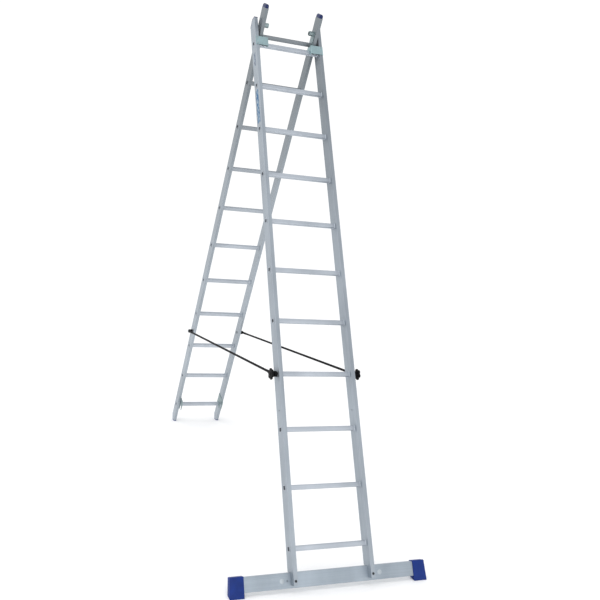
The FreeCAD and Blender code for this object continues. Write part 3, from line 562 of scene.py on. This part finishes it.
fastener_zinc = zinc("fastener_zinc", (0.30, 0.32, 0.34, 1), metres_per_spangle=0.002)
dark_zinc = zinc("dark_zinc", (0.05, 0.055, 0.06, 1), metres_per_spangle=0.002, roughness=0.45)
disc_zinc = zinc("disc_zinc", (0.41, 0.45, 0.48, 1), metres_per_spangle=0.003, roughness=0.5)
bolts = bmesh.new()
discs = bmesh.new()
nuts = bmesh.new()
for side in (-1, 1):
    bolt_seat = Vector((side * BAR_BOLT_ACROSS, STILE_FACE, BAR_HEIGHT_ON_STILE))
    socket_head(bolts, bolt_seat, FORWARD, BOLT_HEAD_RADIUS, BOLT_HEAD_HEIGHT,
                BOLT_SOCKET_RADIUS)
    screw_seat = Vector((side * BAR_SCREW_ACROSS, BAR_FACE, BAR_HEIGHT_ON_STILE))
    rivet_head(discs, screw_seat, FORWARD, SCREW_HEAD_RADIUS, SCREW_HEAD_HEIGHT)
    for across in (BAR_BOLT_ACROSS, BAR_SCREW_ACROSS):
        nut_seat = Vector((side * across, BAR_BACK, BAR_HEIGHT_ON_STILE))
        hexagon_nut(nuts, nut_seat, BACKWARD, NUT_ACROSS_FLATS, BAR_NUT_HEIGHT, THREAD_RADIUS)
shaped("bar_bolt_heads", bolts, BASE, "base_section", dark_zinc,
       ["stabiliser_bolts"])
shaped("bar_screw_heads", discs, BASE, "base_section", disc_zinc)
shaped("bar_nuts", nuts, BASE, "base_section", fastener_zinc,
       ["stabiliser_nuts"])

# ---------------------------------------------------------------- guide brackets
# Zinc-plated steel straps riveted to the front of each stile and folded back over the end of
# the top rung, where they keep the fly section's hooks in.

TOP_RUNG = 2.800
STRAP_RIVET_RISES = (-0.012, 0.024)
STRAP_FACE = -0.036
RIVET_RADIUS = 0.0045
RIVET_HEIGHT = 0.0014
bracket_zinc = zinc("bracket_zinc", (0.29, 0.40, 0.42, 1))
bracket_zinc.wear([nodes["guide_bracket_left"], nodes["guide_bracket_right"]])
strap_rivets = bmesh.new()
for side in (-1, 1):
    for rise in STRAP_RIVET_RISES:
        seat = Vector((side * BAR_BOLT_ACROSS, STRAP_FACE, TOP_RUNG + rise))
        rivet_head(strap_rivets, seat, FORWARD, RIVET_RADIUS, RIVET_HEIGHT)
shaped("strap_rivets", strap_rivets, BASE, "base_section", fastener_zinc,
       ["guide_bracket_rivets"])

# ---------------------------------------------------------------- labels
# Two stickers of plastic film on the left stile, pressed on by hand: a long one with blue
# marks, and a small one above it with grey marks. They carry no words.

LABEL_FILM = (0.29, 0.37, 0.43, 1)
LABEL_BLUE = (0.012, 0.10, 0.24, 1)
LABEL_GREY = (0.10, 0.10, 0.15, 1)
MARKS_PER_METRE = (1.0, 190.0, 45.0)
TRUE_SCALE = (1.0, 1.0, 1.0)
SMALL_LABEL_FROM = 2.26
SMALL_LABEL_FULL = SMALL_LABEL_FROM + 0.01
label = Look("label_film", {"Roughness": 0.5, "Specular IOR Level": 0.2})
label_print = label.noise(label.stretch(-base_lean, MARKS_PER_METRE), 1.0, 1.0)
label_height = label.height_of(label.stretch(-base_lean, TRUE_SCALE))
on_small_label = label.bands(label_height, SMALL_LABEL_FROM, SMALL_LABEL_FULL)
label_ink = label.blend(on_small_label, LABEL_BLUE, LABEL_GREY)
label_colour = label.blend(label.bands(label_print, 0.49, 0.55), label_ink, LABEL_FILM)
label.feed(label.surface, {"Base Color": label_colour})
label.wear([nodes["rating_labels"]])

# ---------------------------------------------------------------- knob studs and spacers
# A zinc-plated steel stud stands out of each end of the fourth rung, where it is anchored in
# the tube. A spacer of black moulded plastic is slipped over it.

BLACK = (0.007, 0.007, 0.008, 1)
black_plastic = moulded("black_plastic", BLACK, roughness=0.5, metres_per_grain=0.0005, shine=0.1)
fastener_zinc.wear([nodes["knob_stud_left"], nodes["knob_stud_right"]])
black_plastic.wear([nodes["knob_spacer_left"], nodes["knob_spacer_right"]])

# ---------------------------------------------------------------- hand knobs
# Six-lobed knobs of black moulded plastic, screwed on the studs by hand to clamp the rods'
# hooks.

KNOB_SIDES = 96
KNOB_LOBES = 6
KNOB_VALLEY = 0.006
# Out along the stud, the radius there, and how deep the valleys between the lobes are there.
KNOB_PROFILE = (
    (0.0, 0.0041, 0.0), (0.0, 0.0125, 0.0), (0.0006, 0.0132, 0.0), (0.0042, 0.0138, 0.0),
    (0.0046, 0.0175, 0.2), (0.0050, 0.0245, 0.7), (0.0062, 0.0285, 1.0),
    (0.0080, 0.0299, 1.0), (0.0130, 0.0299, 1.0), (0.0152, 0.0283, 1.0),
    (0.0166, 0.0240, 0.7), (0.0170, 0.0185, 0.2), (0.0160, 0.0150, 0.0),
    (0.0160, 0.0118, 0.0), (0.0172, 0.0108, 0.0), (0.0182, 0.0085, 0.0),
    (0.0188, 0.0055, 0.0), (0.0190, 0.0015, 0.0))


def knob_mesh(inner, outer, rise):
    """Rings out along the stud: hub, swelling lobes, and a shallow dish with a domed boss."""
    way = 1 if outer > inner else -1
    mesh = bmesh.new()
    rings = []
    for along, radius, lobed in KNOB_PROFILE:
        ring = []
        for i in range(KNOB_SIDES):
            angle = 2 * math.pi * i / KNOB_SIDES
            valley = (0.5 - 0.5 * math.cos(KNOB_LOBES * angle)) ** 2
            reach = radius - lobed * KNOB_VALLEY * valley
            ring.append(Vector((inner + way * along, reach * math.sin(angle),
                                rise + reach * math.cos(angle))))
        rings.append(ring)
    loft(mesh, rings, closed_ends=True)
    return mesh


STUD_RISE = 0.840
for side in ("left", "right"):
    low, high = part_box("knob_" + side)
    inner, outer = (high.x, low.x) if side == "left" else (low.x, high.x)
    shaped("star_knob_" + side, knob_mesh(inner, outer, STUD_RISE), BASE,
           "knob_%s_body" % side, black_plastic, ["knob_" + side], 60.0)

# ---------------------------------------------------------------- fly section: stiles, rungs
# A narrower pair of the same mill-finish extrusions, with the same rungs through them. Each
# rung is also held by a pin through the stile's front flange. Stiles and rungs both get painted
# shade that deepens towards the top.

FLY_STILE_WIDTH = 0.020
# Painted shade darkens the fly stiles and rungs towards their tops.
fly_extrusion = aluminium("fly_stile_shaded_aluminium", -fly_lean, UP, light=(0.43, 0.475, 0.52, 1),
                          dull=(0.33, 0.365, 0.40, 1), painted_top_shade=0.6)
fly_extrusion.wear([nodes["fly_stile_left"], nodes["fly_stile_right"]])
fly_rung_finish = aluminium("fly_rung_aluminium", -fly_lean, ACROSS,
                            light=(0.52, 0.56, 0.61, 1), dull=(0.41, 0.445, 0.49, 1),
                            painted_top_shade=0.65)
make_rungs("fly", FLY, "fly_section", FLY_STILE_WIDTH, fly_rung_finish)
fastener_zinc.wear([nodes["crimp_pins"]])

# ---------------------------------------------------------------- fly section: plastic ends
# Domed navy caps on top and blue plugs with flat soles at the foot, all moulded plastic that
# is pushed into the stiles' open ends.

NAVY = (0.004, 0.016, 0.095, 1)
CAP_HALF_WIDTH = 0.011
CAP_HALF_DEPTH = 0.034
CAP_LIP = 0.0007
CAP_STRAIGHT = 0.007
CAP_HEIGHT = 0.022
CAP_CORNER_STEPS = 6
CAP_CROWN_HALF = 0.0009
DOME_STEPS = 8
DOME_EDGE_HALF = 0.0006
FLY_TOP = 2.963
cap_plastic = moulded("cap_plastic", NAVY, roughness=0.3, coat=0.12)


def cap_ring(height, inset, across):
    """One level of the cap: a rectangle with its corners fully rounded."""
    half_width = CAP_HALF_WIDTH - inset
    half_depth = CAP_HALF_DEPTH - inset
    points = []
    for quarter in range(4):
        side = (1, 1, -1, -1)[quarter]
        end = (-1, 1, 1, -1)[quarter]
        radius = half_width * 0.96
        centre = Vector((across + side * (half_width - radius), end * (half_depth - radius)))
        for step in range(CAP_CORNER_STEPS + 1):
            angle = math.radians(90 * quarter - 90 + 90 * step / CAP_CORNER_STEPS)
            points.append(Vector((centre.x + radius * math.cos(angle),
                                  centre.y + radius * math.sin(angle), FLY_TOP + height)))
    return points


def cap_mesh(across):
    mesh = bmesh.new()
    rings = [cap_ring(0.0, CAP_LIP, across), cap_ring(CAP_LIP, 0.0, across),
             cap_ring(CAP_STRAIGHT, 0.0, across)]
    dome = CAP_HEIGHT - CAP_STRAIGHT
    for step in range(1, DOME_STEPS):
        angle = math.pi / 2 * step / DOME_STEPS
        inset = (CAP_HALF_WIDTH - DOME_EDGE_HALF) * (1 - math.cos(angle))
        rings.append(cap_ring(CAP_STRAIGHT + dome * math.sin(angle), inset, across))
    rings.append(cap_ring(CAP_HEIGHT, CAP_HALF_WIDTH - CAP_CROWN_HALF, across))
    loft(mesh, rings, closed_ends=True)
    return mesh


for side in ("left", "right"):
    across = (FLY.inverted() @ middle("fly_top_cap_" + side)).x
    shaped("domed_cap_" + side, cap_mesh(across), FLY, "fly_section",
           cap_plastic, ["fly_top_cap_" + side], 50.0)
foot_plastic = moulded("foot_plastic", BLUE, roughness=0.45)
foot_plastic.wear([nodes["fly_foot_plug_left"], nodes["fly_foot_plug_right"]])

# ---------------------------------------------------------------- hinge plates and claws
# Zinc-plated steel plates, pressed to shape and riveted inside the fly section's stiles. The
# upper pair hooks over the base section's top rung and carries two turned bosses; the lower
# pair, the claws, grips a base rung when the ladder is closed.

BOSS_RISE = 0.066
BOSS_RADIUS = 0.014
BOSS_BORE = 0.0095
BOSS_FLOOR = 0.003
BOSS_CHAMFER = 0.0012
BOSS_BORE_CHAMFER = 0.0008
TAIL_RADIUS = 0.0036
TAIL_HEIGHT = 0.0009
PLATE_RIVET_HEIGHTS = (0.034, 0.064, 2.824, 2.842)
PLATE_FACE = 0.162
FLY_OUTER_FACE = 0.186
plate_zinc = zinc("plate_zinc", (0.24, 0.30, 0.31, 1))
plate_zinc.wear([nodes[name] for name in (
    "hinge_plate_left", "hinge_plate_right", "rung_claw_left", "rung_claw_right")])
plate_rivets = bmesh.new()
for side in ("left", "right"):
    low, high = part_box("hinge_boss_" + side)
    root, mouth = (low.x, high.x) if side == "left" else (high.x, low.x)
    inwards = Vector((1, 0, 0)) if side == "left" else Vector((-1, 0, 0))
    length = high.x - low.x
    boss = bmesh.new()
    lathe(boss, Vector((root, 0, TOP_RUNG + BOSS_RISE)), inwards, [
        (0.0, BOSS_RADIUS), (length - BOSS_CHAMFER, BOSS_RADIUS),
        (length, BOSS_RADIUS - BOSS_CHAMFER), (length, BOSS_BORE + BOSS_BORE_CHAMFER),
        (length - BOSS_BORE_CHAMFER, BOSS_BORE), (BOSS_FLOOR, BOSS_BORE)], sides=48)
    shaped("turned_boss_" + side, boss, FLY, "fly_section", plate_zinc,
           ["hinge_boss_" + side])
    for height in PLATE_RIVET_HEIGHTS:
        seat = Vector((-inwards.x * PLATE_FACE, 0, height))
        rivet_head(plate_rivets, seat, inwards, RIVET_RADIUS, RIVET_HEIGHT)
        seat = Vector((-inwards.x * FLY_OUTER_FACE, 0, height))
        rivet_head(plate_rivets, seat, -inwards, TAIL_RADIUS, TAIL_HEIGHT)
shaped("plate_rivets", plate_rivets, FLY, "fly_section", fastener_zinc,
       ["fly_plate_rivets"])

# ---------------------------------------------------------------- spreader rods
# Round steel bar with its ends pressed flat, powder coated black. Each is bolted to a block on
# the fly section's stile, and its other end hooks on the base section's stud.

COAT_BLACK = (0.004, 0.004, 0.006, 1)
rod_coat = moulded("rod_coat", COAT_BLACK, roughness=0.45, metres_per_grain=0.0012, shine=0.06)
rod_coat.wear([nodes["spreader_rod_left"], nodes["spreader_rod_right"]])
black_plastic.wear([nodes["rod_pivot_block_left"], nodes["rod_pivot_block_right"]])
ROD_PIVOT_RISE = 0.685
ROD_PIVOT_ACROSS = 0.212
ROD_HOOK_ACROSS = 0.2363
ROD_HALF_THICKNESS = 0.003
SIDE_GAP = 0.0003
ROD_RADIUS = 0.0065
FLAT_HALF_HEIGHT = 0.007
FLAT_LENGTH = 0.075
SHOULDER_INTO_FLAT = 0.022
SHOULDER_LENGTH = 0.034
SHOULDER_STEPS = 8
SHOULDER_SIDES = 32
SHOULDER_PROUD = 0.0002
SQUARENESS_OF_FLAT = 0.35
PIVOT_HEAD_RADIUS = 0.0065
PIVOT_HEAD_HEIGHT = 0.0034
PIVOT_SOCKET_RADIUS = 0.0031
PIVOT_NUT_HEIGHT = 0.0055


def shoulder_mesh(start, finish, distance):
    """Where the round bar was pressed flat: a smooth change from circle to rounded strip."""
    line = (finish - start).normalized()
    sideways = Vector((1, 0, 0)) - line * line.x
    sideways.normalize()
    upright = line.cross(sideways)
    mesh = bmesh.new()
    rings = []
    for step in range(SHOULDER_STEPS + 1):
        t = step / SHOULDER_STEPS
        eased = t * t * (3 - 2 * t)
        thick = (ROD_HALF_THICKNESS * (1 - eased) + ROD_RADIUS * eased) + SHOULDER_PROUD
        tall = (FLAT_HALF_HEIGHT * (1 - eased) + ROD_RADIUS * eased) + SHOULDER_PROUD
        centre = start + line * (distance + SHOULDER_LENGTH * t)
        power = SQUARENESS_OF_FLAT * (1 - eased) + 1.0 * eased
        ring = []
        for i in range(SHOULDER_SIDES):
            angle = 2 * math.pi * i / SHOULDER_SIDES
            c, v = math.cos(angle), math.sin(angle)
            ring.append(centre + sideways * thick * math.copysign(abs(c) ** power, c)
                        + upright * tall * math.copysign(abs(v) ** power, v))
        rings.append(ring)
    loft(mesh, rings, closed_ends=True)
    return mesh


pivot_bolts = bmesh.new()
for side, sign in (("left", -1), ("right", 1)):
    pivot = FLY @ Vector((sign * ROD_PIVOT_ACROSS, 0, ROD_PIVOT_RISE))
    hook = BASE @ Vector((sign * ROD_HOOK_ACROSS, 0, STUD_RISE))
    for end, start, finish in (("pivot", pivot, hook), ("hook", hook, pivot)):
        shaped("rod_shoulder_%s_%s" % (end, side),
               shoulder_mesh(start, finish, FLAT_LENGTH - SHOULDER_INTO_FLAT),
               Matrix.Identity(4),
               "rod_" + side, rod_coat, crease=60.0)
    outwards = Vector((sign, 0, 0))
    head_seat = sign * (ROD_PIVOT_ACROSS + ROD_HALF_THICKNESS + SIDE_GAP)
    socket_head(pivot_bolts, Vector((head_seat, 0, ROD_PIVOT_RISE)), outwards,
                PIVOT_HEAD_RADIUS, PIVOT_HEAD_HEIGHT, PIVOT_SOCKET_RADIUS)
    nut_seat = sign * (FLY_OUTER_FACE - FLY_STILE_WIDTH)
    hexagon_nut(pivot_bolts, Vector((nut_seat, 0, ROD_PIVOT_RISE)), -outwards,
                NUT_ACROSS_FLATS, PIVOT_NUT_HEIGHT, THREAD_RADIUS)
shaped("rod_pivot_heads", pivot_bolts, FLY, "fly_section", fastener_zinc,
       ["rod_pivot_bolts"])

# ---------------------------------------------------------------- floor, light and camera
# A plain white studio: a broad matt floor, a bright surround with one slightly dimmer patch
# high in front, a soft box on the left and one in front, and a broad weak sun from above.

FLOOR_REACH = 40.0
FLOOR_WHITE = (0.985, 0.985, 0.985, 1)
FLOOR_WHITER = (0.995, 0.995, 0.995, 1)
floor_mesh = bpy.data.meshes.new("studio_floor")
floor_mesh.from_pydata(
    [(-FLOOR_REACH, -FLOOR_REACH, 0), (FLOOR_REACH, -FLOOR_REACH, 0),
     (FLOOR_REACH, FLOOR_REACH, 0), (-FLOOR_REACH, FLOOR_REACH, 0)], [], [(0, 1, 2, 3)])
floor = bpy.data.objects.new("studio_floor", floor_mesh)
bpy.context.scene.collection.objects.link(floor)
floor_paint = Look("floor_paint", {"Specular IOR Level": 0.2})
floor_tone = floor_paint.noise(floor_paint.place(), 0.6, 2.0)
floor_paint.feed(floor_paint.surface, {
    "Base Color": floor_paint.blend(floor_tone, FLOOR_WHITE, FLOOR_WHITER),
    "Roughness": 0.9 + floor_tone * 0.05})
floor_paint.wear([floor])

STUDIO_WHITE = (1.0, 1.0, 1.0, 1)
STUDIO_DIMMER = (0.80, 0.81, 0.83, 1)
STUDIO_STRENGTH = 1.06
DIMMER_TOWARDS = (0.35, -0.55, 0.76)
world = bpy.data.worlds.new("studio")
bpy.context.scene.world = world
world.use_nodes = True
studio = Wiring(world.node_tree)
direction = studio.node("TexCoord", {}, {}, "Generated")
nearness = studio.node("VectorMath", {"operation": "DOT_PRODUCT"},
                       {0: direction, 1: DIMMER_TOWARDS}, "Value")
above = studio.height_of(direction)
shade = studio.bands(nearness, 0.45, 0.85) * studio.bands(above, 0.30, 0.55)
studio.feed(world.node_tree.nodes["Background"], {
    "Color": studio.blend(shade, STUDIO_WHITE, STUDIO_DIMMER),
    "Strength": STUDIO_STRENGTH})
bpy.context.scene.view_settings.view_transform = "Standard"

LIT_POINT = (0, 0, 1.4)


def soft_box(name, place, size, watts):
    """A rectangular lamp that faces the middle of the ladder."""
    data = bpy.data.lights.new(name, "AREA")
    data.shape = "RECTANGLE"
    data.size, data.size_y = size
    data.energy = watts
    lamp = bpy.data.objects.new(name, data)
    lamp.location = place
    lamp.rotation_euler = (Vector(LIT_POINT) - Vector(place)).to_track_quat("-Z", "Y").to_euler()
    bpy.context.scene.collection.objects.link(lamp)


soft_box("key_light", place=(-5.0, 0.2, 3.4), size=(2.5, 3.5), watts=40)
soft_box("front_light", place=(-0.5, -5.5, 2.4), size=(2.5, 2.5), watts=40)
SUN_STRENGTH = 0.35
SUN_SPREAD = math.radians(60)
SUN_TOWARDS = Vector((0.35, 0.35, -0.87))
even_light = bpy.data.lights.new("even_light", "SUN")
even_light.energy = SUN_STRENGTH
even_light.angle = SUN_SPREAD
even_lamp = bpy.data.objects.new("even_light", even_light)
even_lamp.rotation_euler = SUN_TOWARDS.to_track_quat("-Z", "Y").to_euler()
bpy.context.scene.collection.objects.link(even_lamp)

CAMERA_PLACE = Vector((-1.6648, -3.8513, 1.8488))
CAMERA_YAW = math.radians(18.868)
CAMERA_PITCH = math.radians(-7.81)
CAMERA_ROLL = math.radians(5.653)
CAMERA_SHIFT = (0.1419, -0.0302)
SENSOR = 36.0
FOCAL_PER_WIDTH = 1.1404
forward = Vector((math.cos(CAMERA_PITCH) * math.sin(CAMERA_YAW),
                  math.cos(CAMERA_PITCH) * math.cos(CAMERA_YAW), math.sin(CAMERA_PITCH)))
level = forward.cross(Vector((0, 0, 1))).normalized()
plumb = level.cross(forward)
right = level * math.cos(CAMERA_ROLL) + plumb * math.sin(CAMERA_ROLL)
upward = plumb * math.cos(CAMERA_ROLL) - level * math.sin(CAMERA_ROLL)
camera_data = bpy.data.cameras.new("camera")
camera_data.sensor_width = SENSOR
camera_data.lens = SENSOR * FOCAL_PER_WIDTH
camera_data.shift_x, camera_data.shift_y = CAMERA_SHIFT
camera = bpy.data.objects.new("camera", camera_data)
camera.matrix_world = Matrix.Translation(CAMERA_PLACE) @ Matrix(
    (right, upward, -forward)).transposed().to_4x4()
bpy.context.scene.collection.objects.link(camera)
bpy.context.scene.camera = camera
